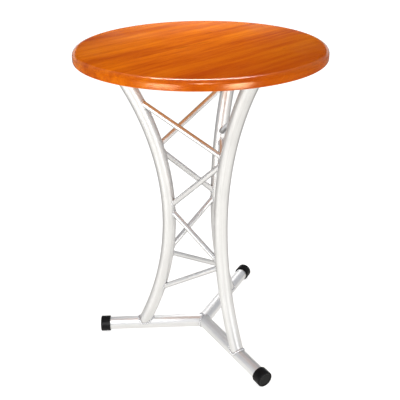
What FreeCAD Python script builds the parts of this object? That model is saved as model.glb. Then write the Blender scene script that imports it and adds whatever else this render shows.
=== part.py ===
import FreeCAD, Part
import math
import os

Vector = FreeCAD.Vector
origin = Vector(0, 0, 0)
outward = Vector(1, 0, 0)
sideways = Vector(0, 1, 0)
up = Vector(0, 0, 1)

# Whole table, in millimetres: origin on the floor under the hub, +Z up
table_height = 1100.0
top_diameter = 800.0
foot_reach = 394.0  # hub axis to the outer face of a foot cap

# Three equal sides, seen from above: the first chord stands on the left, the next in front
chord_names = ("left", "front", "rear")
first_azimuth = 180.0
turn_step = 360.0 / len(chord_names)

# Round wooden top
top_thickness = 32.0
upper_round = 16.0  # radius of the rim's upper edge
lower_round = 3.0  # radius of its lower edge

# Main tubes: the arched chords and the floor legs
tube_diameter = 48.0
tube_wall = 3.0

# Arch of a chord, in the upright plane through the hub axis
waist_radius = 118.0  # hub axis to the chord's axis at the narrowest place
chord_landing = 232.0  # hub axis to the chord's axis on the leg
chord_inset = 112.0  # edge of the top to the chord's axis under its plate
saddle_lip = 8.0  # height above the leg's axis where the coped foot is trimmed

# Lattice braces
brace_diameter = 19.0
brace_wall = 2.0
node_height_shares = (0.871, 0.709, 0.494, 0.323, 0.173)  # of the height under the top, downwards

# Rubber foot caps, pushed over the legs
cap_wall = 5.0
cap_end = 5.0
cap_length = 30.0
cap_round = 2.5
dish_rim = 7.0  # flat ring around the shallow dish in the end face
dish_depth = 1.0

# Plates that close the chords under the top
plate_thickness = 5.0
plate_margin = 26.0  # plate edge beyond the end of the chord
plate_corner = 12.0
hole_inset = 13.0  # plate edge to the middle of a screw hole

# Wood screws that hold the top
screw_diameter = 6.0
screw_clearance = 0.3  # radial play in the plate
screw_cover = 10.0  # wood left above the tip of a screw
screw_point = 5.0  # length of the tapered tip
tip_diameter = 2.0
head_diameter = 12.0
head_height = 4.0
head_bevel = 1.5

# Weld beads: how far each reaches along the two surfaces that it joins
hub_bead = 3.5  # radius of the round bead in the mitres
foot_bead = 4.5
plate_bead = 4.0
brace_bead = 2.6
bevel_share = 0.6  # of a bead's reach, taken off its outer corner

# Cuts run this far past what they cut
overrun = 10.0

# Worked out from the sizes above
azimuths = {name: first_azimuth + turn_step * step for step, name in enumerate(chord_names)}
top_radius = top_diameter / 2
tube_radius = tube_diameter / 2
bore_radius = tube_radius - tube_wall
brace_radius = brace_diameter / 2
screw_radius = screw_diameter / 2
leg_height = tube_radius + cap_wall
leg_end = foot_reach - cap_end
frame_height = table_height - top_thickness
plate_underside = frame_height - plate_thickness
node_heights = [share * frame_height for share in node_height_shares]
half_turn = math.radians(turn_step / 2)


# Radius and waist height of the arch: a circle that touches the waist and passes both landings
def arch():
    foot_rise = chord_landing - waist_radius
    top_rise = top_radius - chord_inset - waist_radius
    span = plate_underside - leg_height
    drop = foot_rise * (span ** 2 + top_rise * (top_rise - foot_rise))
    root = math.sqrt((foot_rise * span) ** 2 + (top_rise - foot_rise) * drop)
    below = drop / (foot_rise * span + root)
    radius = (below ** 2 + foot_rise ** 2) / (2 * foot_rise)
    return radius, leg_height + below


arch_radius, waist_height = arch()


# Angle along the arch, from its waist, at a height
def arch_angle(height):
    return math.asin((height - waist_height) / arch_radius)


# A point on the axis of the chord that stands in the given direction
def chord_point(azimuth, height):
    radius = waist_radius + arch_radius * (1 - math.cos(arch_angle(height)))
    angle = math.radians(azimuth)
    return Vector(radius * math.cos(angle), radius * math.sin(angle), height)


def turned(shape, azimuth):
    return shape.rotated(origin, up, azimuth)


# A cutting block across the whole table, between two heights
def layer(low, high):
    block = Part.makeBox(top_diameter, top_diameter, high - low)
    return block.translated(Vector(-top_radius, -top_radius, low))


# A solid bar bent along the chord's axis in the +X direction, too long at both ends
def chord_bar(radius):
    start = arch_angle(leg_height - tube_radius)
    end = arch_angle(plate_underside + tube_diameter)
    middle = Vector(waist_radius + arch_radius, 0, waist_height)
    foot = middle + Vector(-math.cos(start), 0, math.sin(start)) * arch_radius
    along = Vector(math.sin(start), 0, math.cos(start))
    disc = Part.Face(Part.Wire(Part.makeCircle(radius, foot, along)))
    return disc.revolve(middle, sideways, math.degrees(end - start))


# A solid bar along a leg's axis in the +X direction
def leg_bar(radius):
    return Part.makeCylinder(radius, leg_end, Vector(0, 0, leg_height), outward)


# Copes a chord onto its leg, trims the thin ears of the saddle and ends it flat under its plate
def trim_chord(shape):
    ears = layer(-tube_diameter, leg_height + saddle_lip)
    above = layer(plate_underside, plate_underside + 2 * tube_diameter)
    return shape.cut([ears, above]).cut(leg_bar(tube_radius))


def make_chord():
    return trim_chord(chord_bar(tube_radius).cut(chord_bar(bore_radius)))


# The part of the floor plan that belongs to one leg, out to the mitres with its neighbours
def leg_sector():
    half_width = leg_end * math.tan(half_turn)
    corners = [origin, Vector(leg_end, -half_width, 0), Vector(leg_end, half_width, 0), origin]
    floor_plan = Part.Face(Part.makePolygon(corners))
    return floor_plan.extrude(up * (leg_height + tube_diameter))


def make_leg():
    return leg_bar(tube_radius).cut(leg_bar(bore_radius)).common(leg_sector())


def make_foot_cap():
    mouth = Vector(foot_reach - cap_length, 0, leg_height)
    outside = Part.makeCylinder(leg_height, cap_length, mouth, outward)
    outside = outside.makeFillet(cap_round, [edge for edge in outside.Edges if edge.Closed])
    socket = Part.makeCylinder(tube_radius, cap_length - cap_end, mouth, outward)
    dish_place = Vector(foot_reach - dish_depth, 0, leg_height)
    dish = Part.makeCylinder(leg_height - dish_rim, dish_depth + overrun, dish_place, outward)
    return outside.cut([socket, dish])


# A brace runs from one chord's axis to another's and is coped by both chords
def make_brace(start, end, chord_bars):
    along = end - start
    tube = Part.makeCylinder(brace_radius, along.Length, start, along)
    bore = Part.makeCylinder(brace_radius - brace_wall, along.Length, start, along)
    return tube.cut([bore] + chord_bars)


# Size of the flat end of a chord: its length outwards and its middle
def chord_end():
    slope = arch_angle(plate_underside)
    return tube_diameter / math.cos(slope), chord_point(0, plate_underside).x


# Where the screws go, around the middle of a plate that lies in the +X direction
def screw_places():
    end_length, middle = chord_end()
    long_side = end_length / 2 + plate_margin - hole_inset
    short_side = tube_radius + plate_margin - hole_inset
    return [Vector(middle + a * long_side, b * short_side, plate_underside) for a in (-1, 1) for b in (-1, 1)]


def make_plate():
    end_length, middle = chord_end()
    length = end_length + 2 * plate_margin
    width = tube_diameter + 2 * plate_margin
    corner = Vector(middle - length / 2, -width / 2, plate_underside)
    plate = Part.makeBox(length, width, plate_thickness, corner)
    upright_edges = [edge for edge in plate.Edges if edge.BoundBox.ZLength > plate_thickness / 2]
    plate = plate.makeFillet(plate_corner, upright_edges)
    hole_radius = screw_radius + screw_clearance
    holes = [Part.makeCylinder(hole_radius, plate_thickness, place) for place in screw_places()]
    return plate.cut(holes)


# A wood screw, pointing up, with its head against the underside of a plate
def make_screw(place):
    shank_length = plate_thickness + top_thickness - screw_cover
    head = Part.makeCylinder(head_diameter / 2, head_height, place, -up)
    low_edges = [edge for edge in head.Edges if edge.Closed and edge.BoundBox.ZMax < place.z]
    head = head.makeChamfer(head_bevel, low_edges)
    shank = Part.makeCylinder(screw_radius, shank_length - screw_point, place)
    point_place = place + up * (shank_length - screw_point)
    point = Part.makeCone(screw_radius, tip_diameter / 2, screw_point, point_place)
    return head.fuse([shank, point]).removeSplitter()


def make_screws():
    plate_screws = Part.makeCompound([make_screw(place) for place in screw_places()])
    turned_sets = [turned(plate_screws, azimuth) for azimuth in azimuths.values()]
    return Part.makeCompound([screw for plate_set in turned_sets for screw in plate_set.Solids])


# Quarter round in the upright plane, from the side of the rim to a level face
def quarter_round(middle, radius, rise):
    diagonal = (outward + rise).normalize() * radius
    return Part.Arc(middle + outward * radius, middle + diagonal, middle + rise * radius).toShape()


# The top is turned from one blank: a large round above, a small one below, and holes that the screws fill
def make_top(screws):
    high = Vector(top_radius - upper_round, 0, table_height - upper_round)
    low = Vector(top_radius - lower_round, 0, frame_height + lower_round)
    upper = quarter_round(high, upper_round, up)
    lower = quarter_round(low, lower_round, -up)
    side = Part.makeLine(low + outward * lower_round, high + outward * upper_round)
    faces = [high + up * upper_round, up * table_height, up * frame_height, low - up * lower_round]
    outline = Part.__sortEdges__([upper, side, lower] + Part.makePolygon(faces).Edges)
    blank = Part.Face(Part.Wire(outline)).revolve(origin, up, 360)
    return blank.cut(screws.Solids)


# Radius of a round face, or zero for a flat one
def face_radius(face):
    surface = face.Surface
    return getattr(surface, "MinorRadius", getattr(surface, "Radius", 0))


# Takes off the outer corner of a bead, where its two outer faces meet
def bevelled(bead, reach, radii):
    corner_edges = []
    for edge in bead.Edges:
        meeting = sorted(face_radius(face) for face in bead.Faces if any(edge.isSame(e) for e in face.Edges))
        if len(meeting) == 2 and all(math.isclose(a, b) for a, b in zip(meeting, sorted(radii))):
            corner_edges.append(edge)
    return bead.makeChamfer(reach * bevel_share, corner_edges)


# Bead around the end of a brace, on the chord at its start
def brace_weld(start, end, chord, grown_chord):
    along = (end - start) * 0.5
    tube = Part.makeCylinder(brace_radius, along.Length, start, along)
    grown_tube = Part.makeCylinder(brace_radius + brace_bead, along.Length, start, along)
    bead = grown_tube.common(grown_chord).cut([chord, tube]).removeSplitter()
    return bevelled(bead, brace_bead, (brace_radius + brace_bead, tube_radius + brace_bead))


# Round bead along half an ellipse, from one end of its flank over its crown and a little past the other end
def seam_bead(radius, centre, crown, flank):
    past_flank = math.pi / 2 + radius / tube_radius
    seam = Part.Ellipse(crown, flank, centre).toShape(-past_flank, past_flank)
    start = seam.valueAt(seam.FirstParameter)
    ring = Part.makeCircle(radius, start, seam.tangentAt(seam.FirstParameter))
    return Part.Wire(seam).makePipeShell([Part.Wire(ring)], True, False)


# Highest point of the saddle seam of a chord's foot, on the hub's side (1) or the outer side (-1)
def saddle_crown(side):
    height = leg_height + tube_radius
    reach = math.sqrt((arch_radius + side * tube_radius) ** 2 - (height - waist_height) ** 2)
    return Vector(waist_radius + arch_radius - reach, 0, height)


# All that lies outside the plane across a chord's foot
def beyond_foot():
    landing = Vector(chord_landing, 0, leg_height)
    block = Part.makeBox(top_diameter, top_diameter, top_diameter)
    block = block.translated(landing - Vector(0, top_radius, top_radius))
    return block.rotated(landing, sideways, math.degrees(arch_angle(leg_height)))


# Two beads around the coped foot of a chord, mitred where they meet on the flanks of the leg
def make_foot_weld():
    landing = Vector(chord_landing, 0, leg_height)
    flank = landing + sideways * tube_radius
    inner, outer = [seam_bead(foot_bead, landing, saddle_crown(side), flank) for side in (1, -1)]
    beads = [inner.cut(beyond_foot()), outer.common(beyond_foot())]
    chord = trim_chord(chord_bar(tube_radius))
    return Part.makeCompound([bead.cut([leg_bar(tube_radius), chord]) for bead in beads])


# Bead between the flat end of a chord and its plate
def make_plate_weld():
    band = layer(plate_underside - plate_bead, plate_underside)
    return chord_bar(tube_radius + plate_bead).common(band).cut(chord_bar(tube_radius))


# Bead along the elliptical mitre seam on one side of a leg, mitred with the other two at both poles
def make_hub_weld():
    centre = Vector(0, 0, leg_height)
    between = Vector(math.cos(half_turn), math.sin(half_turn), 0)
    side = centre + between * (tube_radius / math.sin(half_turn))
    bead = seam_bead(hub_bead, centre, side, centre + up * tube_radius)
    neighbours = [turned(leg_bar(tube_radius), step) for step in (0, turn_step)]
    return bead.common(turned(leg_sector(), turn_step / 2)).cut(neighbours)


# Four braces in a zigzag from the chord in the +X direction to the next one, and the beads on both chords
def make_zigzag():
    sides = (0, turn_step)
    chords = [turned(chord_bar(tube_radius), side) for side in sides]
    grown_chords = [turned(chord_bar(tube_radius + brace_bead), side) for side in sides]
    braces = []
    welds = ([], [])
    for number in range(len(node_heights) - 1):
        near, far = number % 2, (number + 1) % 2
        start = chord_point(sides[near], node_heights[number])
        end = chord_point(sides[far], node_heights[number + 1])
        braces.append(make_brace(start, end, chords))
        welds[near].append(brace_weld(start, end, chords[near], grown_chords[near]))
        welds[far].append(brace_weld(end, start, chords[far], grown_chords[far]))
    return braces, welds


# The same zigzag on each side of the truss, with each bead in the group of the chord that it is on
def make_lattice():
    braces, welds = make_zigzag()
    lattice = {}
    beads = {name: [] for name in chord_names}
    for step, name in enumerate(chord_names):
        next_name = chord_names[(step + 1) % len(chord_names)]
        for number, brace in enumerate(braces):
            lattice["brace_%s_%s_%d" % (name, next_name, number + 1)] = turned(brace, azimuths[name])
        for chord_name, chord_welds in zip((name, next_name), welds):
            beads[chord_name] += [turned(weld, azimuths[name]) for weld in chord_welds]
    return lattice, beads


def make_table():
    braces, brace_welds = make_lattice()
    screws = make_screws()
    nodes = {"table_top": make_top(screws), "top_screws": screws}
    each_side = {
        "chord": make_chord(),
        "leg": make_leg(),
        "foot_cap": make_foot_cap(),
        "mounting_plate": make_plate(),
        "foot_weld": make_foot_weld(),
        "plate_weld": make_plate_weld(),
    }
    for name in chord_names:
        for piece, shape in each_side.items():
            nodes["%s_%s" % (piece, name)] = turned(shape, azimuths[name])
        nodes["brace_welds_%s" % name] = Part.makeCompound(brace_welds[name])
    hub_weld = make_hub_weld()
    nodes["hub_welds"] = Part.makeCompound([turned(hub_weld, azimuth) for azimuth in azimuths.values()])
    nodes.update(braces)
    return nodes


# One file for each piece; like beads and screws share a file as separate solids
os.makedirs("parts", exist_ok=True)
for node, shape in make_table().items():
    solids = shape.Solids
    piece = solids[0] if len(solids) == 1 else Part.makeCompound(solids)
    piece.exportStep("parts/%s.step" % node)
    print(node, len(solids), "solids", round(piece.Volume), "mm3")
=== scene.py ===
import math

import bpy
from mathutils import Matrix, Vector


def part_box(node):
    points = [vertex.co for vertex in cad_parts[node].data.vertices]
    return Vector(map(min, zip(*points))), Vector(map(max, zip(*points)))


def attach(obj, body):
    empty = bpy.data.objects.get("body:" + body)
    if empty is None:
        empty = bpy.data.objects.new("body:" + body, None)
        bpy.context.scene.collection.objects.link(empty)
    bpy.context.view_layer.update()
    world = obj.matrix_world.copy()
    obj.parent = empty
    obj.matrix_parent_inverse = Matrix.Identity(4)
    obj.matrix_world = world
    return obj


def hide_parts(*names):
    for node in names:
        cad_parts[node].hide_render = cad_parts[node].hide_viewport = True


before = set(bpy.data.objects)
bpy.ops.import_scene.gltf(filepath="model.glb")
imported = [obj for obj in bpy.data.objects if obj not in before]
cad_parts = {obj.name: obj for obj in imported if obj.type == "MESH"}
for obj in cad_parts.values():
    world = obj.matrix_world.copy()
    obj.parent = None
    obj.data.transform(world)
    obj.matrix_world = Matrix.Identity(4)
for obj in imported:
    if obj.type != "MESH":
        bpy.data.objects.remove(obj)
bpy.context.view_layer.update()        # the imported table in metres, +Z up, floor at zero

sideNames = ("left", "front", "rear")
sideTurns = (180.0, 300.0, 60.0)   # where each chord stands, seen from above
turnStep = 120.0
closeEnough = 0.00001              # two heights or reaches this near count as the same
facing = 0.9                       # a face that looks this much along the leg is an end
print("frame loaded:", len(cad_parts), "nodes")


# Small helpers for working by hand with the operators

def editMode():
    bpy.ops.object.mode_set(mode="EDIT")


def objectMode():
    bpy.ops.object.mode_set(mode="OBJECT")


def deselectAll():
    if bpy.context.mode != "OBJECT":
        objectMode()
    bpy.ops.object.select_all(action="DESELECT")


def pickOnly(piece):
    deselectAll()
    piece.select_set(True)
    bpy.context.view_layer.objects.active = piece


def editAll(piece):
    pickOnly(piece)
    editMode()
    bpy.ops.mesh.select_all(action="SELECT")


def applyPlace(piece):
    pickOnly(piece)
    bpy.ops.object.transform_apply(location=True, rotation=True, scale=True)


def nameNew(name):
    piece = bpy.context.active_object   # the shape that was just added
    piece.name = piece.data.name = name
    applyPlace(piece)
    return piece


def addCylinder(name, sides, radius, depth, place, rotation=(0, 0, 0)):
    deselectAll()
    bpy.ops.mesh.primitive_cylinder_add(
        vertices=sides, radius=radius, depth=depth, location=place, rotation=rotation)
    return nameNew(name)


def addBox(name, place, size):
    deselectAll()
    bpy.ops.mesh.primitive_cube_add(size=1.0, location=place)
    bpy.context.active_object.scale = size
    return nameNew(name)


def smoothPiece(piece, angle=35.0):
    pickOnly(piece)
    bpy.ops.object.shade_smooth_by_angle(angle=math.radians(angle))


def tidyMesh(piece, gap=0.00002):
    editAll(piece)
    bpy.ops.mesh.remove_doubles(threshold=gap)
    bpy.ops.mesh.dissolve_degenerate(threshold=gap)
    bpy.ops.mesh.normals_make_consistent(inside=False)
    objectMode()


def cutAway(piece, cutters):
    for cutter in cutters:
        pickOnly(piece)
        cope = piece.modifiers.new("cope", "BOOLEAN")
        cope.operation = "DIFFERENCE"
        cope.object = cutter
        cope.solver = "EXACT"
        bpy.ops.object.modifier_apply(modifier="cope")


def startPicking(piece, kind):
    pickOnly(piece)
    editMode()
    bpy.ops.mesh.select_mode(type=kind)
    bpy.ops.mesh.select_all(action="DESELECT")
    objectMode()


def pickFaces(piece, wanted):
    startPicking(piece, "FACE")
    for face in piece.data.polygons:
        face.select = wanted(face)
    editMode()


def pickEdges(piece, wanted):
    startPicking(piece, "EDGE")
    points = piece.data.vertices
    for edge in piece.data.edges:
        edge.select = wanted(points[edge.vertices[0]].co, points[edge.vertices[1]].co)
    editMode()


def sliceOff(piece, point, direction):
    editAll(piece)   # takes off what lies beyond the point in that direction and closes the cut
    bpy.ops.mesh.bisect(plane_co=point, plane_no=direction, use_fill=True, clear_outer=True)
    objectMode()


def turnedCopy(piece, name, turn):
    copy = piece.copy()
    copy.data = piece.data.copy()
    copy.name = copy.data.name = name
    bpy.context.scene.collection.objects.link(copy)
    copy.rotation_euler = (0, 0, math.radians(turn))
    applyPlace(copy)
    return copy


def dropPiece(piece):
    mesh = piece.data
    bpy.data.objects.remove(piece)
    bpy.data.meshes.remove(mesh)


def seatPiece(piece, material, slotName, *nodes):
    piece.data.materials.clear()
    piece.data.materials.append(material)
    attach(piece, "root")
    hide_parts(*nodes)


# Sizes that several pieces share, read from the frame

legLow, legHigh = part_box("leg_left")
topLow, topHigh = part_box("table_top")
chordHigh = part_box("chord_left")[1]
tubeRadius = round((legHigh.z - legLow.z) / 2, 4)
legHeight = round((legHigh.z + legLow.z) / 2, 4)
legEnd = -round(legLow.x, 4)
topRadius = round((topHigh.x - topLow.x) / 2, 3)
topHeight = round(topHigh.z, 4)
topUnderside = round(topLow.z, 4)
plateUnderside = round(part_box("mounting_plate_left")[0].z, 4)

chordSettings = {
    "waistRadius": round(-chordHigh.x + tubeRadius, 4),   # table axis to the chord's axis at the waist
    "footReach": 0.232,        # table axis to the chord's axis on the leg
    "topReach": 0.288,         # and under the plate
    "saddleLip": 0.008,        # the coped foot is trimmed this far above the leg's axis
    "sides": 64,
    "steps": 96,
    "patternShift": 0.013,     # moves the metal's pattern along, for each degree of turn
}
braceSettings = {
    "radius": 0.0095,
    "nodeShares": (0.871, 0.709, 0.494, 0.323, 0.173),   # of the height under the top
    "sides": 32,
    "rings": 10,
    "patternShift": 0.011,
}


def archCircle(chord):
    footRise = chord["footReach"] - chord["waistRadius"]
    topRise = chord["topReach"] - chord["waistRadius"]
    span = plateUnderside - legHeight
    drop = footRise * (span ** 2 + topRise * (topRise - footRise))
    root = math.sqrt((footRise * span) ** 2 + (topRise - footRise) * drop)
    below = drop / (footRise * span + root)
    radius = (below ** 2 + footRise ** 2) / (2 * footRise)
    return radius, legHeight + below


archRadius, waistHeight = archCircle(chordSettings)
archMiddle = Vector((chordSettings["waistRadius"] + archRadius, 0, waistHeight))


def turnAround(point, turn):
    return Matrix.Rotation(math.radians(turn), 3, "Z") @ Vector(point)


def chordPoint(turn, height):
    across = math.sqrt(archRadius ** 2 - (height - waistHeight) ** 2)
    return turnAround((archMiddle.x - across, 0, height), turn)


def outsideChord(point, turn):
    local = turnAround(point, -turn)   # negative inside the tube, positive outside it
    across = math.hypot(local.x - archMiddle.x, local.z - archMiddle.z) - archRadius
    return math.hypot(across, local.y) - tubeRadius


# Helpers for shader nodes

def feed(tree, node, values):
    # plain values are set, outputs of other nodes are linked
    for name, value in values.items():
        if isinstance(value, (int, float, tuple)):
            node.inputs[name].default_value = value
        else:
            tree.links.new(value, node.inputs[name])


def addNode(tree, kind, values=None, **settings):
    node = tree.nodes.new("ShaderNode" + kind)
    for name, value in settings.items():
        setattr(node, name, value)
    feed(tree, node, values or {})
    return node


def newGroup(name, inputs, outputs):
    group = bpy.data.node_groups.new(name, "ShaderNodeTree")
    for side, sockets in (("INPUT", inputs), ("OUTPUT", outputs)):
        for socketName, kind in sockets:
            group.interface.new_socket(socketName, in_out=side, socket_type="NodeSocket" + kind)
    return group, group.nodes.new("NodeGroupInput"), group.nodes.new("NodeGroupOutput")


def noiseNode(tree, vector, scale, detail, roughness, stretch=None):
    if stretch:
        vector = addNode(tree, "Mapping", {"Vector": vector, "Scale": stretch}).outputs["Vector"]
    values = {"Vector": vector, "Scale": scale, "Detail": detail, "Roughness": roughness}
    return addNode(tree, "TexNoise", values).outputs["Fac"]


def rangeNode(tree, value, fromLow, fromHigh, toLow, toHigh, smooth=True):
    values = {"Value": value, "From Min": fromLow, "From Max": fromHigh, "To Min": toLow, "To Max": toHigh}
    kind = "SMOOTHSTEP" if smooth else "LINEAR"
    return addNode(tree, "MapRange", values, interpolation_type=kind).outputs["Result"]


def mathNode(tree, operation, first, second):
    return addNode(tree, "Math", {0: first, 1: second}, operation=operation).outputs[0]


def times(tree, first, second):
    return mathNode(tree, "MULTIPLY", first, second)


def addUp(tree, total, *others):
    for other in others:
        total = mathNode(tree, "ADD", total, other)
    return total


def mixColours(tree, factor, first, second, blend="MIX"):
    node = addNode(tree, "Mix", {"Factor": factor}, data_type="RGBA", blend_type=blend)
    colours = [at for at, socket in enumerate(node.inputs) if socket.type == "RGBA"]
    feed(tree, node, dict(zip(colours, (first, second))))
    return [socket for socket in node.outputs if socket.type == "RGBA"][0]


def splitPlace(tree, vector):
    return addNode(tree, "SeparateXYZ", {0: vector}).outputs


def objectPlace(tree):
    return addNode(tree, "TexCoord").outputs["Object"]


def straightPlace(tree):
    return addNode(tree, "Attribute", attribute_name="straight").outputs["Vector"]


def newMaterial(name):
    material = bpy.data.materials.new(name)
    material.use_nodes = True
    tree = material.node_tree
    return material, tree, tree.nodes["Principled BSDF"]


def addBump(tree, shader, height, strength, distance):
    bump = addNode(tree, "Bump", {"Strength": strength, "Distance": distance, "Height": height})
    feed(tree, shader, {"Normal": bump.outputs["Normal"]})


# Smears and fine scratches that every handled surface picks up

handlingSettings = {
    "smearDetail": 5.0,
    "smearCurl": 0.6,
    "smearMask": (0.42, 0.68, 0.0, 1.0),
    "wanderScale": 14.0,
    "wander": (0.05, 0.05, 0.05),            # how far a scratch strays from a straight line
    "scratchMask": (0.0, 0.018, 1.0, 0.0),
    "worn": (31.0, 2.0, 0.5),                # where scratches gather: noise scale, detail, roughness
    "wornMask": (0.56, 0.66, 0.0, 1.0),
}


def makeHandlingGroup(handling):
    group, entry, leave = newGroup(
        "handling",
        [("Vector", "Vector"), ("Smear Scale", "Float"), ("Scratch Scale", "Float")],
        [("Smear", "Float"), ("Scratch", "Float")])
    place = entry.outputs["Vector"]
    smear = addNode(group, "TexNoise", {
        "Vector": place, "Scale": entry.outputs["Smear Scale"],
        "Detail": handling["smearDetail"], "Distortion": handling["smearCurl"]})
    stray = addNode(group, "TexNoise", {"Vector": place, "Scale": handling["wanderScale"]})
    bent = addNode(group, "VectorMath", {0: stray.outputs["Color"], 1: handling["wander"], 2: place},
                   operation="MULTIPLY_ADD")
    cells = addNode(
        group, "TexVoronoi", {"Vector": bent.outputs["Vector"], "Scale": entry.outputs["Scratch Scale"]},
        feature="DISTANCE_TO_EDGE")
    line = rangeNode(group, cells.outputs["Distance"], *handling["scratchMask"])
    worn = rangeNode(group, noiseNode(group, place, *handling["worn"]), *handling["wornMask"])
    feed(group, leave, {
        "Smear": rangeNode(group, smear.outputs["Fac"], *handling["smearMask"]),
        "Scratch": times(group, line, worn)})
    return group


handlingGroup = makeHandlingGroup(handlingSettings)


def placeHandling(tree, vector, smearScale, scratchScale):
    values = {"Vector": vector, "Smear Scale": smearScale, "Scratch Scale": scratchScale}
    node = addNode(tree, "Group", values, node_tree=handlingGroup)
    return node.outputs["Smear"], node.outputs["Scratch"]


creviceSettings = {"samples": 8, "openness": (0.35, 0.95)}


def shadeCrevice(tree, colour, distance, low):
    # painted shade: ambient occlusion darkens the colour where two pieces meet
    shade = addNode(tree, "AmbientOcclusion", {"Distance": distance}, samples=creviceSettings["samples"])
    paintedShade = rangeNode(tree, shade.outputs["AO"], *creviceSettings["openness"], low, 1.0)
    return mixColours(tree, 1.0, colour, paintedShade, "MULTIPLY")


# Varnished wood of the top

woodSettings = {
    "grainTurn": 43.0,                       # direction of the grain, degrees from +X towards +Y
    "broad": (3.0, 0.5, (1.3, 9.0, 9.0)),    # each layer of the grain: noise detail, roughness, stretch
    "flame": (4.0, 0.6, (3.2, 38.0, 38.0)),
    "fibre": (3.0, 0.6, (16.0, 330.0, 330.0)),
    "pores": (2.0, 0.5, (55.0, 900.0, 900.0)),
    "flecks": (1.0, 0.5, (9.0, 46.0, 46.0)),
    "toneShares": (0.5, 0.32, 0.18),         # of the broad grain, the flame and the fibre
    "tonePlaces": (0.385, 0.5, 0.625),       # of the three stains
    "darkStain": (0.42, 0.056, 0.0006, 1.0),
    "midStain": (0.64, 0.130, 0.0012, 1.0),
    "lightStain": (0.82, 0.228, 0.0035, 1.0),
    "darkerBands": ((-0.135, -0.080, 0.40), (-0.36, -0.18, 0.35)),   # where two broad bands across the grain lie, towards the right and front of the top, and how much darker they are
    "poreMask": (0.6, 0.72, 0.0, 0.4),
    "poreStain": (0.16, 0.02, 0.001, 1.0),
    "fleckMask": (0.74, 0.80, 0.0, 0.3),
    "fleckStain": (0.14, 0.018, 0.001, 1.0),
    "handling": (6.0, 24.0),                 # scale of the smears and of the scratches
    "scratchShare": 0.12,
    "scratchColour": (0.85, 0.36, 0.08, 1.0),
    "underside": (0.61, 0.283, 0.109, 1.0),  # plainer wood below, where no varnish was brushed on
    "underRise": (0.0005, 0.002),            # how far it reaches up the rim
    "underGrain": (0.3, 0.7, 0.0, 0.35),
    "roughness": (0.06, 0.095),              # rubbed smooth on the face
    "scratchRough": 0.03,
    "underRough": 0.25,
    "roundInset": (0.018, 0.012),            # where the upper round begins, in from the edge
    "sideInset": (0.0025, 0.0003),           # where the side of the rim begins
    "rimPolish": -0.02,                      # glossier over the upper round, duller on the side of the rim
    "sideDull": 0.14,
    "coat": (0.05, 0.19, 0.05),              # varnish on the face, over the upper round and on the side
    "coatRoughness": 0.19,
    "gloss": 0.05,
    "glossTint": (1.0, 0.74, 0.20, 1.0),     # the stain warms what it mirrors
    "fibreRise": 0.35,
    "bump": (0.06, 0.0004),
}


def makeVarnishedWood(wood):
    material, tree, shader = newMaterial("varnishedWood")
    coords = objectPlace(tree)
    turned = (0, 0, -math.radians(wood["grainTurn"]))
    along = addNode(tree, "Mapping", {"Vector": coords, "Rotation": turned}).outputs["Vector"]
    layers = ("broad", "flame", "fibre", "pores", "flecks")
    broad, flame, fibre, pores, flecks = [noiseNode(tree, along, 1.0, *wood[layer]) for layer in layers]

    # stain
    shares = zip((broad, flame, fibre), wood["toneShares"])
    tone = addUp(tree, *[times(tree, layer, share) for layer, share in shares])
    ramp = addNode(tree, "ValToRGB", {"Fac": tone})
    darkPlace, midPlace, lightPlace = wood["tonePlaces"]
    stains = ramp.color_ramp.elements
    stains[0].position = darkPlace
    stains[0].color = wood["darkStain"]
    stains[1].position = lightPlace
    stains[1].color = wood["lightStain"]
    stains.new(midPlace).color = wood["midStain"]
    colour = ramp.outputs["Color"]
    across = splitPlace(tree, along)["Y"]
    for dark, pale, share in wood["darkerBands"]:
        colour = mixColours(tree, rangeNode(tree, across, dark, pale, share, 0.0), colour, wood["darkStain"])
    poreMask = rangeNode(tree, pores, *wood["poreMask"])
    colour = mixColours(tree, poreMask, colour, wood["poreStain"])
    colour = mixColours(tree, rangeNode(tree, flecks, *wood["fleckMask"]), colour, wood["fleckStain"])
    smear, scratch = placeHandling(tree, coords, *wood["handling"])
    colour = mixColours(tree, times(tree, scratch, wood["scratchShare"]), colour, wood["scratchColour"])
    place = splitPlace(tree, coords)
    underZone = [topUnderside + rise for rise in wood["underRise"]]
    under = rangeNode(tree, place["Z"], *underZone, 1.0, 0.0)
    plain = mixColours(tree, rangeNode(tree, fibre, *wood["underGrain"]), wood["underside"], wood["midStain"])

    # varnish, by the distance from the table's axis
    square = addUp(tree, times(tree, place["X"], place["X"]), times(tree, place["Y"], place["Y"]))
    reach = mathNode(tree, "SQRT", square, 0.0)
    roundZone = [topRadius - inset for inset in wood["roundInset"]]
    sideZone = [topRadius - inset for inset in wood["sideInset"]]
    rough = addUp(tree,
                  rangeNode(tree, smear, 0.0, 1.0, *wood["roughness"]),
                  times(tree, scratch, wood["scratchRough"]),
                  rangeNode(tree, reach, *roundZone, 0.0, wood["rimPolish"]),
                  rangeNode(tree, reach, *sideZone, 0.0, wood["sideDull"]),
                  times(tree, under, wood["underRough"]))
    face, roundOver, flank = wood["coat"]
    coat = addUp(tree,
                 rangeNode(tree, reach, *roundZone, face, roundOver),
                 rangeNode(tree, reach, *sideZone, 0.0, flank - roundOver))
    height = mathNode(tree, "SUBTRACT", times(tree, fibre, wood["fibreRise"]), poreMask)
    addBump(tree, shader, height, *wood["bump"])
    feed(tree, shader, {
        "Base Color": mixColours(tree, under, colour, plain),
        "Roughness": rough,
        "Coat Weight": coat,
        "Coat Roughness": wood["coatRoughness"],
        "Specular IOR Level": wood["gloss"],
        "Specular Tint": wood["glossTint"]})
    return material


# Aluminium of the tubes: the straight attribute is the place along and across the tube before bending

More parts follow.
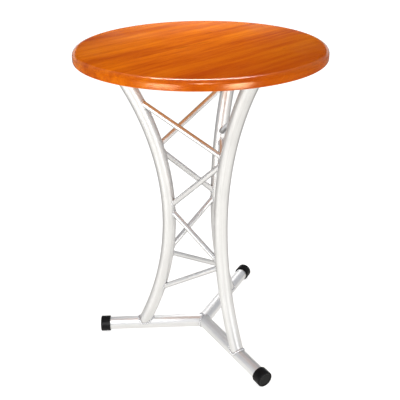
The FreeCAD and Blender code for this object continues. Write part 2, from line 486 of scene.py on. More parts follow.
drawnSettings = {
    "lines": (3.0, 0.6, (5.0, 420.0, 420.0)),   # fine lines along the tube: noise detail, roughness, stretch
    "cloud": (4.0, 0.55, (7.0, 30.0, 30.0)),    # clouds in its skin
    "cloudMask": (0.4, 0.7, 0.0, 1.0),
    "handling": (13.0, 45.0),
    "cloudShare": 0.55,
    "smearShare": 0.25,
    "streak": (0.35, 0.7, 0.93, 1.05),
    # painted shade where pieces meet: ambient occlusion distance and darkest share
    "crevice": (0.006, 0.6),
    "lineRange": (0.3, 0.7),
    "smearRough": 0.06,
    "scratchPolish": 0.12,
    "scratchDepth": 0.6,
    "bump": (0.08, 0.0003),
}
tubeMetal = {
    "name": "satinAluminium",
    "colour": (0.91, 0.905, 0.89, 1.0),
    "dullColour": (0.80, 0.795, 0.78, 1.0),
    "edgeTint": (0.75, 0.75, 0.77, 1.0),   # what a glancing look at the metal keeps
    "roughness": (0.36, 0.47),
}
legMetal = {
    "name": "scuffedAluminium",            # a lighter copy of the tube aluminium with brighter edges: painted light on the legs
    "colour": (0.94, 0.935, 0.925, 1.0),
    "dullColour": (0.83, 0.825, 0.815, 1.0),
    "edgeTint": (0.92, 0.92, 0.93, 1.0),
    "roughness": (0.34, 0.45),
}
# a copy of the tube aluminium whose dark edge tint paints shade along the edges of the thin braces
braceMetal = {
    "name": "braceAluminium",
    "colour": (0.91, 0.905, 0.895, 1.0),
    "dullColour": (0.80, 0.795, 0.785, 1.0),
    "edgeTint": (0.20, 0.20, 0.21, 1.0),
    "roughness": (0.28, 0.37),
}


def makeDrawnGroup(drawn):
    group, entry, leave = newGroup(
        "drawnMetal", [("Vector", "Vector")], [("Lines", "Float"), ("Cloud", "Float")])
    place = entry.outputs["Vector"]
    cloud = noiseNode(group, place, 1.0, *drawn["cloud"])
    feed(group, leave, {
        "Lines": noiseNode(group, place, 1.0, *drawn["lines"]),
        "Cloud": rangeNode(group, cloud, *drawn["cloudMask"])})
    return group


drawnGroup = makeDrawnGroup(drawnSettings)


def makeDrawnAluminium(metal, drawn):
    material, tree, shader = newMaterial(metal["name"])
    place = straightPlace(tree)
    skin = addNode(tree, "Group", {"Vector": place}, node_tree=drawnGroup).outputs
    smear, scratch = placeHandling(tree, place, *drawn["handling"])
    dull = addUp(tree, times(tree, skin["Cloud"], drawn["cloudShare"]),
                 times(tree, smear, drawn["smearShare"]))
    colour = mixColours(tree, dull, metal["colour"], metal["dullColour"])
    streak = rangeNode(tree, skin["Lines"], *drawn["streak"], smooth=False)
    colour = mixColours(tree, 1.0, colour, streak, "MULTIPLY")
    rough = addUp(tree, rangeNode(tree, skin["Lines"], *drawn["lineRange"], *metal["roughness"]),
                  times(tree, smear, drawn["smearRough"]))
    height = mathNode(tree, "SUBTRACT", skin["Lines"], times(tree, scratch, drawn["scratchDepth"]))
    addBump(tree, shader, height, *drawn["bump"])
    feed(tree, shader, {
        "Base Color": shadeCrevice(tree, colour, *drawn["crevice"]),
        "Roughness": mathNode(tree, "SUBTRACT", rough, times(tree, scratch, drawn["scratchPolish"])),
        "Metallic": 1.0,
        "Specular Tint": metal["edgeTint"]})
    return material


# Bright weld metal, ashen in patches

weldMetal = {
    "ash": (260.0, 4.0, 0.6),      # noise scale, detail, roughness
    "grit": (1400.0, 3.0, 0.6),
    "bright": (0.97, 0.97, 0.97, 1.0),
    "ashen": (0.74, 0.74, 0.76, 1.0),
    "ashMask": (0.38, 0.7, 0.0, 0.8),
    # painted shade in the crevices around the bead: ambient occlusion distance and darkest share
    "crevice": (0.005, 0.12),
    "roughness": (0.3, 0.7, 0.17, 0.34),
    "bump": (0.15, 0.0003),
}


def makeWeldAluminium(metal):
    material, tree, shader = newMaterial("weldAluminium")
    coords = objectPlace(tree)
    ash = noiseNode(tree, coords, *metal["ash"])
    colour = mixColours(tree, rangeNode(tree, ash, *metal["ashMask"]), metal["bright"], metal["ashen"])
    addBump(tree, shader, noiseNode(tree, coords, *metal["grit"]), *metal["bump"])
    feed(tree, shader, {
        "Base Color": shadeCrevice(tree, colour, *metal["crevice"]),
        "Roughness": rangeNode(tree, ash, *metal["roughness"]),
        "Metallic": 1.0})
    return material


# Black rubber of the caps

rubberSettings = {
    "grit": (900.0, 3.0, 0.6),
    "bloom": (40.0, 5.0, 0.6),
    "ribScale": 95.0,
    "handling": (28.0, 90.0),
    "black": (0.003, 0.003, 0.0034, 1.0),
    "bloomed": (0.0075, 0.0075, 0.008, 1.0),
    "bloomMask": (0.45, 0.75, 0.0, 1.0),
    "scratchShare": 0.4,
    "scratchColour": (0.05, 0.05, 0.049, 1.0),
    "roughness": (0.34, 0.5),
    "gloss": 0.15,
    "ribRise": 0.6,
    "gritRise": 0.5,
    "bump": (0.25, 0.0004),
}


def makeCapRubber(rubber):
    material, tree, shader = newMaterial("capRubber")
    coords = objectPlace(tree)
    bloom = rangeNode(tree, noiseNode(tree, coords, *rubber["bloom"]), *rubber["bloomMask"])
    smear, scratch = placeHandling(tree, coords, *rubber["handling"])
    colour = mixColours(tree, bloom, rubber["black"], rubber["bloomed"])
    ribs = addNode(tree, "TexWave", {"Vector": straightPlace(tree), "Scale": rubber["ribScale"]},
                   wave_type="BANDS", bands_direction="X", wave_profile="SIN").outputs["Fac"]
    grit = noiseNode(tree, coords, *rubber["grit"])
    height = addUp(tree, times(tree, ribs, rubber["ribRise"]), times(tree, grit, rubber["gritRise"]))
    addBump(tree, shader, height, *rubber["bump"])
    scratched = times(tree, scratch, rubber["scratchShare"])
    feed(tree, shader, {
        "Base Color": mixColours(tree, scratched, colour, rubber["scratchColour"]),
        "Roughness": rangeNode(tree, smear, 0.0, 1.0, *rubber["roughness"]),
        "Specular IOR Level": rubber["gloss"]})
    return material


# Zinc on the screws, yellowed in patches

zincSettings = {
    "tint": (120.0, 4.0, 0.6),
    "tintMask": (0.4, 0.65, 0.0, 1.0),
    "blue": (0.62, 0.63, 0.66, 1.0),
    "yellow": (0.60, 0.56, 0.44, 1.0),
    "handling": (90.0, 400.0),
    # painted shade in the slots and under the heads: ambient occlusion distance and darkest share
    "crevice": (0.003, 0.35),
    "roughness": (0.25, 0.42),
    "bump": (0.1, 0.0002),
}


def makeZincPlate(zinc):
    material, tree, shader = newMaterial("zincPlate")
    coords = objectPlace(tree)
    tint = rangeNode(tree, noiseNode(tree, coords, *zinc["tint"]), *zinc["tintMask"])
    smear, scratch = placeHandling(tree, coords, *zinc["handling"])
    colour = mixColours(tree, tint, zinc["blue"], zinc["yellow"])
    addBump(tree, shader, scratch, *zinc["bump"])
    feed(tree, shader, {
        "Base Color": shadeCrevice(tree, colour, *zinc["crevice"]),
        "Roughness": rangeNode(tree, smear, 0.0, 1.0, *zinc["roughness"]),
        "Metallic": 1.0})
    return material


varnishedWood = makeVarnishedWood(woodSettings)
satinAluminium = makeDrawnAluminium(tubeMetal, drawnSettings)
legAluminium = makeDrawnAluminium(legMetal, drawnSettings)
braceAluminium = makeDrawnAluminium(braceMetal, drawnSettings)
weldAluminium = makeWeldAluminium(weldMetal)
capRubber = makeCapRubber(rubberSettings)
zincPlate = makeZincPlate(zincSettings)
print("materials made: wood, aluminium, weld, rubber, zinc")


def markStraight(piece, place):
    # keeps the place of every vertex in the straight tube, for patterns that follow the metal
    layer = piece.data.attributes.new("straight", "FLOAT_VECTOR", "POINT")
    for vertex, value in zip(piece.data.vertices, layer.data):
        value.vector = place(vertex.co)


def placeAround(master, title, node, straighten, shift, material, slotName):
    # a copy of the master on each of the three sides, its pattern moved along by the turn
    for name, turn in zip(sideNames, sideTurns):
        piece = turnedCopy(master, title + name.capitalize(), turn)
        moved = Vector((turn * shift, 0, 0))
        markStraight(piece, lambda co: straighten(turnAround(co, -turn)) + moved)
        seatPiece(piece, material, slotName, node + name)


def fromLegAxis(co):
    return co - Vector((0, 0, legHeight))


# Round wooden top, turned on its axis

topSettings = {
    "upperRound": 0.016,     # the rim is half round above and nearly square below
    "lowerRound": 0.003,
    "upperSteps": 16,
    "lowerSteps": 5,
    "faceRing": 0.002,       # narrow ring that keeps the flat faces evenly shaded
    "sides": 288,
    "smoothAngle": 40.0,
}


def makeTop(top):
    piece = addCylinder("tableTop", top["sides"], topRadius, topHeight - topUnderside,
                        (0, 0, (topHeight + topUnderside) / 2))
    for height, size, steps in ((topHeight, top["upperRound"], top["upperSteps"]),
                                (topUnderside, top["lowerRound"], top["lowerSteps"])):
        pickEdges(piece, lambda a, b: max(abs(a.z - height), abs(b.z - height)) < closeEnough)
        bpy.ops.mesh.bevel(offset=size, segments=steps)
    pickFaces(piece, lambda face: len(face.vertices) == top["sides"])
    bpy.ops.mesh.inset(thickness=top["faceRing"])
    objectMode()
    smoothPiece(piece, top["smoothAngle"])
    seatPiece(piece, varnishedWood, "varnished_wood", "table_top")


makeTop(topSettings)
print("top turned")


# Floor legs, mitred at the hub

legSettings = {"sides": 64, "rings": 12, "patternShift": 0.01}


def tubeAlong(name, start, end, radius, sides, rings):
    # a closed bar from one point to another, with rings along it
    axis = end - start
    tilt = axis.to_track_quat("Z", "Y").to_euler()
    piece = addCylinder(name, sides, radius, axis.length, (start + end) / 2, tilt)
    for ring in range(1, rings):
        editAll(piece)
        bpy.ops.mesh.bisect(plane_co=start + axis * (ring / rings), plane_no=axis)
        objectMode()
    return piece


def makeLegs(leg):
    start = Vector((0, 0, legHeight))
    end = Vector((legEnd, 0, legHeight))
    master = tubeAlong("legMaster", start, end, tubeRadius, leg["sides"], leg["rings"])
    for side in (-1, 1):
        away = turnAround((0, side, 0), side * turnStep / 2)   # square to a mitre plane
        sliceOff(master, start, away)
    smoothPiece(master)
    placeAround(master, "leg", "leg_", fromLegAxis, leg["patternShift"], legAluminium, "frame_aluminium")
    return master


legMaster = makeLegs(legSettings)
print("legs mitred at the hub")


# Arched chords, spun around the middle of their arch

def chordBar(name, chord, radius, lowHeight, highHeight):
    low = math.asin((lowHeight - waistHeight) / archRadius)
    high = math.asin((highHeight - waistHeight) / archRadius)
    foot = archMiddle + Vector((-math.cos(low), 0, math.sin(low))) * archRadius
    deselectAll()
    bpy.ops.mesh.primitive_circle_add(
        vertices=chord["sides"], radius=radius, location=foot, rotation=(0, low, 0))
    piece = nameNew(name)
    editAll(piece)
    bpy.ops.mesh.spin(steps=chord["steps"], angle=high - low, center=archMiddle, axis=(0, -1, 0))
    bpy.ops.mesh.select_mode(type="VERT")
    bpy.ops.mesh.select_all(action="DESELECT")
    bpy.ops.mesh.select_non_manifold()
    bpy.ops.mesh.fill_holes(sides=chord["sides"])
    objectMode()
    tidyMesh(piece)
    return piece


def straightChord(co):
    across = Vector((co.x - archMiddle.x, 0, co.z - archMiddle.z))
    along = archRadius * math.atan2(co.z - archMiddle.z, archMiddle.x - co.x)
    return Vector((along, across.length - archRadius, co.y))


def makeChords(chord):
    bar = chordBar("chordBar", chord, tubeRadius, legHeight - tubeRadius, plateUnderside + tubeRadius)
    master = turnedCopy(bar, "chordMaster", 0)
    sliceOff(master, (0, 0, plateUnderside), (0, 0, 1))
    sliceOff(master, (0, 0, legHeight + chord["saddleLip"]), (0, 0, -1))
    cutAway(master, [legMaster])
    tidyMesh(master)
    smoothPiece(master)
    placeAround(
        master, "chord", "chord_", straightChord, chord["patternShift"], satinAluminium, "frame_aluminium")
    dropPiece(master)
    return bar


chordMaster = makeChords(chordSettings)
dropPiece(legMaster)
print("chords spun and coped onto the legs")


# Lattice braces, coped onto the chords

nodeHeights = [share * topUnderside for share in braceSettings["nodeShares"]]


def zigzag(turn):
    # start and end of each brace from the chord at this turn to the next one
    turns = (turn, turn + turnStep)
    for number in range(len(nodeHeights) - 1):
        near, far = turns[number % 2], turns[(number + 1) % 2]
        start, end = chordPoint(near, nodeHeights[number]), chordPoint(far, nodeHeights[number + 1])
        yield number, near, far, start, end


def makeBraces(brace):
    chords = [turnedCopy(chordMaster, "copingBar", turn) for turn in (0, turnStep)]
    for number, near, far, start, end in zigzag(0):
        master = tubeAlong("braceMaster", start, end, brace["radius"], brace["sides"], brace["rings"])
        cutAway(master, chords)
        smoothPiece(master)
        axis = (end - start).normalized()
        acrossAxis = axis.orthogonal().normalized()
        basis = Matrix((axis, acrossAxis, axis.cross(acrossAxis)))
        for step, (name, turn) in enumerate(zip(sideNames, sideTurns)):
            nextName = sideNames[(step + 1) % len(sideNames)]
            title = "brace%s%s%d" % (name.capitalize(), nextName.capitalize(), number + 1)
            node = "brace_%s_%s_%d" % (name, nextName, number + 1)
            piece = turnedCopy(master, title, turn)
            shift = Vector((turn * brace["patternShift"] + number, 0, 0))
            markStraight(piece, lambda co: basis @ (turnAround(co, -turn) - start) + shift)
            seatPiece(piece, braceAluminium, "frame_aluminium", node)
        dropPiece(master)
    for bar in chords:
        dropPiece(bar)


makeBraces(braceSettings)
print("braces coped onto the chords")


# Weld beads: rippled runs along the seams

weldSettings = {
    "braceBead": 0.0027,
    "footBead": 0.0048,
    "hubBead": 0.0038,
    "plateBead": 0.0034,
    "roundSteps": 3,
    "ripplePitch": 1.6,                      # one ripple for each dab of filler, in bead sizes
    "fewestRipples": 6,
    "rippleRise": (0.62, 0.97, 1.16, 1.05),  # thickness over one ripple, steeper at its start
    "unevenness": ((0.07, 2.3, 1.7), (0.05, 0.9, 1.0)),   # slow waves: size, pace over the dabs, shift by run
}


def seamLength(points, closed):
    ends = points[1:] + points[:1] if closed else points[1:]
    return sum((b - a).length for a, b in zip(points, ends))


def evenSeam(points, closed, count):
    # the same seam with evenly spaced points
    path = points + points[:1] if closed else points
    spacing = seamLength(points, closed) / (count if closed else count - 1)
    even, walked, at = [], 0.0, 0
    for number in range(count):
        goal = number * spacing
        while at < len(path) - 2 and walked + (path[at + 1] - path[at]).length < goal:
            walked += (path[at + 1] - path[at]).length
            at += 1
        step = path[at + 1] - path[at]
        share = min(1.0, (goal - walked) / max(step.length, 1e-9))
        even.append(path[at] + step * share)
    return even


def layBeads(name, seams, bead, weld, closed, *nodes):
    curve = bpy.data.curves.new(name, "CURVE")
    curve.dimensions = "3D"
    curve.bevel_depth = bead
    curve.bevel_resolution = weld["roundSteps"]
    curve.use_fill_caps = not closed
    rise = weld["rippleRise"]
    for run, seam in enumerate(seams):
        dabs = round(seamLength(seam, closed) / (weld["ripplePitch"] * bead))
        points = evenSeam(seam, closed, max(weld["fewestRipples"], dabs) * len(rise))
        spline = curve.splines.new("POLY")
        spline.points.add(len(points) - 1)
        spline.use_cyclic_u = closed
        spline.use_smooth = True
        for number, (knot, point) in enumerate(zip(spline.points, points)):
            dab = number // len(rise)
            waves = [size * math.sin(pace * dab + shift * run) for size, pace, shift in weld["unevenness"]]
            knot.co = (*point, 1.0)
            knot.radius = rise[number % len(rise)] * (1 + sum(waves))
    piece = bpy.data.objects.new(name, curve)
    bpy.context.scene.collection.objects.link(piece)
    pickOnly(piece)
    bpy.ops.object.convert(target="MESH")
    piece = bpy.context.active_object
    piece.name = piece.data.name = name
    tidyMesh(piece)
    pickOnly(piece)
    bpy.ops.object.shade_smooth()
    seatPiece(piece, weldAluminium, "weld_aluminium", *nodes)


def ringSeam(point, count):
    return [point(2 * math.pi * number / count) for number in range(count)]


def braceSeam(start, end, turn, radius, count=72, halvings=24):
    # where a brace meets the chord at its start
    axis = (end - start).normalized()
    first = axis.orthogonal().normalized()
    second = axis.cross(first)

    def point(angle):
        edge = start + (first * math.cos(angle) + second * math.sin(angle)) * radius
        inside, outside = 0.0, tubeRadius * 4   # so far along, a brace is clear of its chord
        for halving in range(halvings):
            middle = (inside + outside) / 2
            if outsideChord(edge + axis * middle, turn) < 0:
                inside = middle
            else:
                outside = middle
        return edge + axis * outside
    return ringSeam(point, count)


def chordSkinX(angle, height):
    # how far out the skin of a chord lies at a height, an angle around its axis
    reach = archRadius + tubeRadius * math.cos(angle)
    return archMiddle.x - math.sqrt(reach ** 2 - (height - waistHeight) ** 2)


def footSeam(turn, lip, count=120):
    # saddle where a chord lands on its leg, level along the trimmed ears
    def point(angle):
        rise = max(tubeRadius * abs(math.cos(angle)), lip)
        y = math.copysign(math.sqrt(tubeRadius ** 2 - rise ** 2), math.sin(angle))
        return turnAround((chordSkinX(angle, legHeight + rise), y, legHeight + rise), turn)
    return ringSeam(point, count)


def plateSeam(turn, count=96):
    # flat end of a chord under its plate
    def point(angle):
        x = chordSkinX(angle, plateUnderside)
        return turnAround((x, tubeRadius * math.sin(angle), plateUnderside), turn)
    return ringSeam(point, count)


def hubSeam(turn, count=60):
    # half of the elliptical mitre between two legs, from the top of the hub to its underside
    across = tubeRadius / math.sin(math.radians(turnStep / 2))
    seam = []
    for number in range(count + 1):
        angle = math.pi * (number / count - 0.5)
        height = legHeight - tubeRadius * math.sin(angle)
        seam.append(turnAround((across * math.cos(angle), 0, height), turn))
    return seam


def makeWelds(weld):
    rings = {name: [] for name in sideNames}
    for step, turn in enumerate(sideTurns):
        owners = (sideNames[step], sideNames[(step + 1) % len(sideNames)])
        for number, near, far, start, end in zigzag(turn):
            rings[owners[number % 2]].append(braceSeam(start, end, near, braceSettings["radius"]))
            rings[owners[(number + 1) % 2]].append(braceSeam(end, start, far, braceSettings["radius"]))
    for name, turn in zip(sideNames, sideTurns):
        title = name.capitalize()
        saddle = footSeam(turn, chordSettings["saddleLip"])
        layBeads("braceWelds" + title, rings[name], weld["braceBead"], weld, True, "brace_welds_" + name)
        layBeads("footWeld" + title, [saddle], weld["footBead"], weld, True, "foot_weld_" + name)
        layBeads("plateWeld" + title, [plateSeam(turn)], weld["plateBead"], weld, True, "plate_weld_" + name)
    mitres = [hubSeam(turn + turnStep / 2) for turn in sideTurns]
    layBeads("hubWelds", mitres, weld["hubBead"], weld, False, "hub_welds")


makeWelds(weldSettings)
dropPiece(chordMaster)
print("weld beads laid")


# Rubber caps on the legs

capLow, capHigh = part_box("foot_cap_left")
capSettings = {
    "radius": round((capHigh.z - capLow.z) / 2, 4),
    "mouth": -round(capHigh.x, 4) - 0.005,   # the soft lip runs a little further in
    "end": -round(capLow.x, 4),
    "socketShare": 0.8,                      # of the cap's length
    "round": 0.003,
    "roundSteps": 6,
    "lipRound": 0.0012,
    "lipSteps": 4,
    "dishRim": 0.007,
    "dishDepth": 0.001,
    "dishSlope": 1.5,                        # width of the dish's edge, in depths
    "sides": 96,
    "smoothAngle": 30.0,
}


def makeCaps(cap):
    length = cap["end"] - cap["mouth"]
    middle = (cap["mouth"] + length / 2, 0, legHeight)
    master = addCylinder("capMaster", cap["sides"], cap["radius"], length, middle, (0, math.pi / 2, 0))
    # socket for the leg
    pickFaces(master, lambda face: face.normal.x < -facing)
    bpy.ops.mesh.inset(thickness=cap["radius"] - tubeRadius)
    bpy.ops.mesh.extrude_region_move(TRANSFORM_OT_translate={"value": (length * cap["socketShare"], 0, 0)})
    # shallow dish in the end
    pickFaces(master, lambda face: face.normal.x > facing)
    bpy.ops.mesh.inset(thickness=cap["dishRim"])
    bpy.ops.mesh.inset(thickness=cap["dishDepth"] * cap["dishSlope"], depth=-cap["dishDepth"])

    # rounded end, small lip at the mouth
    def onRing(co, x):
        outer = math.hypot(co.y, co.z - legHeight) > cap["radius"] - closeEnough
        return outer and abs(co.x - x) < closeEnough
    for x, size, steps in ((cap["end"], cap["round"], cap["roundSteps"]),
                           (cap["mouth"], cap["lipRound"], cap["lipSteps"])):
        pickEdges(master, lambda a, b: onRing(a, x) and onRing(b, x))
        bpy.ops.mesh.bevel(offset=size, segments=steps)
    objectMode()
    tidyMesh(master)
    smoothPiece(master, cap["smoothAngle"])
    placeAround(master, "footCap", "foot_cap_", fromLegAxis, 0.0, capRubber, "cap_rubber")
    dropPiece(master)


makeCaps(capSettings)
print("caps pushed on")


# Mounting plates and their screws, under the top

plateLow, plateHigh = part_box("mounting_plate_left")
plateSettings = {
    "corner": 0.012,
    "cornerSteps": 10,
    "edge": 0.0006,
    "edgeSteps": 2,
    "screwInset": 0.013,
    "smoothAngle": 30.0,
    "patternShift": 0.02,
}
screwSettings = {
    "headRadius": 0.006,
    "headHeight": 0.004,
    "domeRound": 0.0016,
    "domeSteps": 5,
    "slotLength": 0.0068,
    "slotWidth": 0.0014,
    "slotDepth": 0.0018,
    "driveTurn": 37.0,       # each head was driven this much further than the one before
    "sides": 32,
    "smoothAngle": 30.0,
}


def makePlates(plate):
    middle = (plateLow + plateHigh) / 2
    master = addBox("plateMaster", (-middle.x, middle.y, middle.z), plateHigh - plateLow)
    pickEdges(master, lambda a, b: abs(a.z - b.z) > closeEnough)
    bpy.ops.mesh.bevel(offset=plate["corner"], segments=plate["cornerSteps"])
    objectMode()
    rounded = master.modifiers.new("edge", "BEVEL")
    rounded.width = plate["edge"]
    rounded.segments = plate["edgeSteps"]
    rounded.limit_method = "ANGLE"
    pickOnly(master)
    bpy.ops.object.modifier_apply(modifier="edge")
    smoothPiece(master, plate["smoothAngle"])
    placeAround(master, "mountingPlate", "mounting_plate_", Vector, plate["patternShift"],
                satinAluminium, "frame_aluminium")
    dropPiece(master)


def makeScrewHead(screw):
    low = plateUnderside - screw["headHeight"]
    head = addCylinder("screwMaster", screw["sides"], screw["headRadius"], screw["headHeight"],
                       (0, 0, plateUnderside - screw["headHeight"] / 2))
    pickEdges(head, lambda a, b: max(a.z, b.z) < low + closeEnough)
    bpy.ops.mesh.bevel(offset=screw["domeRound"], segments=screw["domeSteps"])
    objectMode()
    slotSize = (screw["slotLength"], screw["slotWidth"])
    for size in (slotSize, slotSize[::-1]):
        slot = addBox("slot", (0, 0, low), (*size, screw["slotDepth"] * 2))
        cutAway(head, [slot])
        dropPiece(slot)
    smoothPiece(head, screw["smoothAngle"])
    return head


def makeScrews(plate, screw):
    head = makeScrewHead(screw)
    heads = []
    inset = plate["screwInset"]
    for turn in sideTurns:
        for x in (-plateHigh.x + inset, -plateLow.x - inset):
            for y in (plateLow.y + inset, plateHigh.y - inset):
                copy = turnedCopy(head, "screwHead", screw["driveTurn"] * len(heads))
                copy.location = turnAround((x, y, 0), turn)
                applyPlace(copy)
                heads.append(copy)
    deselectAll()
    for copy in heads:
        copy.select_set(True)
    bpy.context.view_layer.objects.active = heads[0]
    bpy.ops.object.join()
    piece = bpy.context.active_object
    piece.name = piece.data.name = "topScrews"
    seatPiece(piece, zincPlate, "screw_steel", "top_screws")
    dropPiece(head)


makePlates(plateSettings)
makeScrews(plateSettings, screwSettings)
print("plates and screws set")


# Studio: pale floor, soft panels, white behind

studioSettings = {
    "white": (1.0, 1.0, 1.0, 1.0),
    "floorSize": 40.0,
    "floorColour": (0.80, 0.80, 0.80, 1.0),
    "floorGlow": 0.70,             # added for the camera, so that the paper is white
    "bounceGlow": 0.38,            # added for the light that the floor throws up
    "mirrorTint": (1.0, 0.985, 0.955, 1.0),
    "mirrorFall": (-1.0, 1.6, 1.04, 0.66),   # the floor as metal sees it, from the front to behind the table
    "asideReach": (0.25, 0.95, 0.0, 0.50),   # how much darker it is to either side
    "asideDepth": (-0.2, 0.4, 0.0, 1.0),     # but only behind the table
    "ambient": (0.57, 0.57, 0.57, 1.0),      # even light on everything
    "mirrorSky": (0.50, 0.51, 0.54, 1.0),    # the studio above the horizon as metal sees it
    "behind": (0.72, 0.86, 0.0, 1.0),        # how wide the paper and the flag stand behind the table
    "paperTop": 10.8,              # degrees up to which the white paper stands there
    "paperSoft": 0.012,
    "paperLean": -0.5,             # the paper stands higher on the left
    "flagTop": 30.0,               # and the dark flag above it
    "flagSoft": 0.05,
    "flagColour": (0.01, 0.01, 0.01, 1.0),
}


def makeFloor(studio):
    deselectAll()
    bpy.ops.mesh.primitive_plane_add(size=studio["floorSize"], location=(0, 0, 0))
    floor = bpy.context.active_object
    floor.name = "studioFloor"
    material = bpy.data.materials.new("studioFloor")
    material.use_nodes = True
    tree = material.node_tree
    tree.nodes.clear()
    light = addNode(tree, "LightPath").outputs
    place = splitPlace(tree, objectPlace(tree))
    paper = addNode(tree, "BsdfDiffuse", {"Color": studio["floorColour"]})
    white = times(tree, light["Is Camera Ray"], studio["floorGlow"] - studio["bounceGlow"])
    glow = addNode(tree, "Emission", {"Strength": addUp(tree, white, studio["bounceGlow"])})
    lit = addNode(tree, "AddShader", {0: paper.outputs[0], 1: glow.outputs[0]})
    fall = rangeNode(tree, place["Y"], *studio["mirrorFall"])
    wide = rangeNode(tree, mathNode(tree, "ABSOLUTE", place["X"], 0.0), *studio["asideReach"])
    aside = times(tree, wide, rangeNode(tree, place["Y"], *studio["asideDepth"]))
    shade = times(tree, fall, mathNode(tree, "SUBTRACT", 1.0, aside))
    mirrored = addNode(tree, "Emission", {"Color": studio["mirrorTint"], "Strength": shade})
    mirror = mathNode(tree, "MAXIMUM", light["Is Glossy Ray"], light["Is Transmission Ray"])
    seen = addNode(tree, "MixShader", {0: mirror, 1: lit.outputs[0], 2: mirrored.outputs[0]})
    addNode(tree, "OutputMaterial", {"Surface": seen.outputs[0]})
    floor.data.materials.append(material)


def makeWorld(studio):
    world = bpy.data.worlds.new("studioWorld")
    world.use_nodes = True
    bpy.context.scene.world = world
    tree = world.node_tree
    light = addNode(tree, "LightPath").outputs
    leaning = (0, math.radians(studio["paperLean"]), 0)
    view = addNode(tree, "TexCoord").outputs["Generated"]
    lean = addNode(tree, "Mapping", {"Vector": view, "Rotation": leaning}, vector_type="VECTOR")
    way = splitPlace(tree, lean.outputs["Vector"])
    paperTop, paperSoft = math.sin(math.radians(studio["paperTop"])), studio["paperSoft"]
    flagTop, flagSoft = math.sin(math.radians(studio["flagTop"])), studio["flagSoft"]
    behind = rangeNode(tree, way["Y"], *studio["behind"])
    abovePaper = rangeNode(tree, way["Z"], paperTop - paperSoft, paperTop + paperSoft, 0.0, 1.0)
    belowFlag = rangeNode(tree, way["Z"], flagTop - flagSoft, flagTop + flagSoft, 1.0, 0.0)
    flag = times(tree, behind, times(tree, abovePaper, belowFlag))
    wall = times(tree, behind, mathNode(tree, "SUBTRACT", 1.0, abovePaper))
    sky = mixColours(tree, wall, studio["mirrorSky"], studio["white"])
    sky = mixColours(tree, flag, sky, studio["flagColour"])
    colour = mixColours(tree, light["Is Glossy Ray"], studio["ambient"], sky)
    white = mathNode(tree, "MAXIMUM", light["Is Camera Ray"], light["Is Transmission Ray"])
    colour = mixColours(tree, white, colour, studio["white"])
    feed(tree, tree.nodes["Background"], {"Color": colour, "Strength": 1.0})


# Lamps: name, place, what they point at, width and height, watts
panelSettings = (
    # seen in gloss or not, and lighting matt surfaces or not
    ("overheadBack", (0.0, 0.42, 1.60), (0.0, 0.41, 1.1), (0.5, 0.5), 3.6, False, True),
    ("overheadFront", (-0.08, -0.36, 1.60), (-0.08, -0.37, 1.1), (0.5, 0.5), 1.7, False, True),
    ("leftPanel", (-1.5, -1.55, 1.0), (0.0, 0.0, 0.8), (0.8, 1.5), 18.0, True, False),
    ("keyPanel", (-1.05, -1.90, 1.0), (0.0, 0.0, 0.8), (0.8, 1.5), 17.0, False, True),
    ("rightPanel", (1.05, -1.85, 1.0), (0.0, 0.0, 0.8), (0.6, 1.5), 9.0, True, True),
)
nestShares = (0.5, 1.0, 1.6)   # nested cards, so that their mirror image fades at its ends
nestedCards = (
    ("leftCard", (-1.16, -1.86, 0.70), (0.0, 0.0, 0.70), (0.62, 0.76), 64.0, "tableTop"),
    ("rightCard", (0.95, -1.90, 0.70), (0.0, 0.0, 0.70), (0.48, 0.76), 65.0, "tableTop"),
)
cardSettings = (
    # each shows only in the gloss of the piece named last
    ("cameraCard", (0.0, -2.3, 1.98), (0.0, 0.0, 1.1), (0.65, 0.45), 80.0, "tableTop"),
    ("overheadCard", (0.0, 0.35, 3.0), (0.0, -0.4, 1.1), (1.6, 0.6), 215.0, "tableTop"),
    ("legCard", (0.66, 1.7, 1.15), (0.0, 0.0, 0.03), (1.5, 1.8), 22.0, "legLeft"),
    ("rearCard", (-0.3, 1.7, 1.3), (-0.2, 0.0, 0.03), (2.2, 1.1), 11.5, "legRear"),
    ("farCard", (0.0, 1.0, 0.42), (0.1, 0.05, 0.85), (0.8, 0.7), 6.0, "braceFrontRear1"),
    ("outerCard", (-0.36, -0.38, 0.56), (-0.34, 0.0, 0.03), (0.26, 0.34), 1.0, "legLeft"),
    ("capCard", (-0.385, -0.52, 0.31), (-0.385, 0.0, 0.03), (0.2, 0.24), 1.8, "footCapLeft"),
)


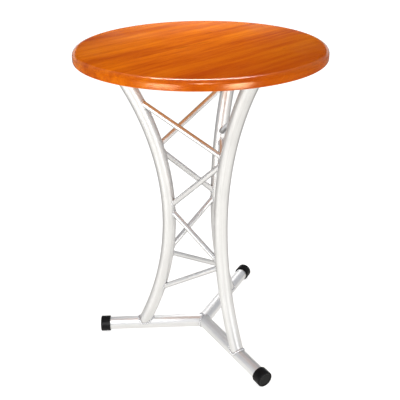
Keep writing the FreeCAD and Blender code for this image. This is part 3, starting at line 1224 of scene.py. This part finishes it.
def makePanel(name, place, aim, size, power, glossy, diffuse):
    lamp = bpy.data.lights.new(name, "AREA")
    lamp.shape = "RECTANGLE"
    lamp.size, lamp.size_y = size
    lamp.energy = power
    panel = bpy.data.objects.new(name, lamp)
    bpy.context.scene.collection.objects.link(panel)
    panel.location = place
    panel.rotation_euler = (Vector(aim) - Vector(place)).to_track_quat("-Z", "Y").to_euler()
    panel.visible_camera = False
    panel.visible_glossy = glossy
    panel.visible_diffuse = diffuse
    return panel


def makeCard(name, place, aim, size, power, pieceName):
    panel = makePanel(name, place, aim, size, power, True, False)
    card = bpy.data.collections.new(name)
    card.objects.link(bpy.data.objects[pieceName])
    panel.light_linking.receiver_collection = card


makeFloor(studioSettings)
makeWorld(studioSettings)
for panelValues in panelSettings:
    makePanel(*panelValues)
for share in nestShares:
    for name, place, aim, (width, height), power, pieceName in nestedCards:
        makeCard(name, place, aim, (width * share, height), power * share, pieceName)
for cardValues in cardSettings:
    makeCard(*cardValues)
print("studio set")


# Camera at the photograph's place, found from the outline of the top, the tubes and the caps

cameraSettings = {
    "imageSize": 400.0,               # pixels across the square photograph
    "focalPixels": 625.2,
    "centre": (202.0, 192.9),         # where the optical axis meets the photograph
    "sensorWidth": 36.0,
    "clipStart": 0.05,
    "place": (-0.0755, -1.9679, 1.5488),
    "pitch": 26.194,                  # degrees below the horizon
    "roll": 0.568,
    "turn": -2.196,                   # from looking along +Y
}


def makeCamera(view):
    lens = bpy.data.cameras.new("photoCamera")
    lens.sensor_fit = "HORIZONTAL"
    lens.sensor_width = view["sensorWidth"]
    lens.lens = lens.sensor_width * view["focalPixels"] / view["imageSize"]
    lens.shift_x = (view["imageSize"] / 2 - view["centre"][0]) / view["imageSize"]
    lens.shift_y = (view["centre"][1] - view["imageSize"] / 2) / view["imageSize"]
    lens.clip_start = view["clipStart"]
    camera = bpy.data.objects.new("photoCamera", lens)
    bpy.context.scene.collection.objects.link(camera)
    tilt = Matrix.Rotation(math.radians(90 - view["pitch"]), 4, "X")
    turn = Matrix.Rotation(math.radians(view["turn"]), 4, "Z")
    roll = Matrix.Rotation(math.radians(-view["roll"]), 4, "Z")
    camera.matrix_world = Matrix.Translation(view["place"]) @ turn @ tilt @ roll
    bpy.context.scene.camera = camera


makeCamera(cameraSettings)
bpy.context.scene.view_settings.view_transform = "Standard"
print("camera placed")
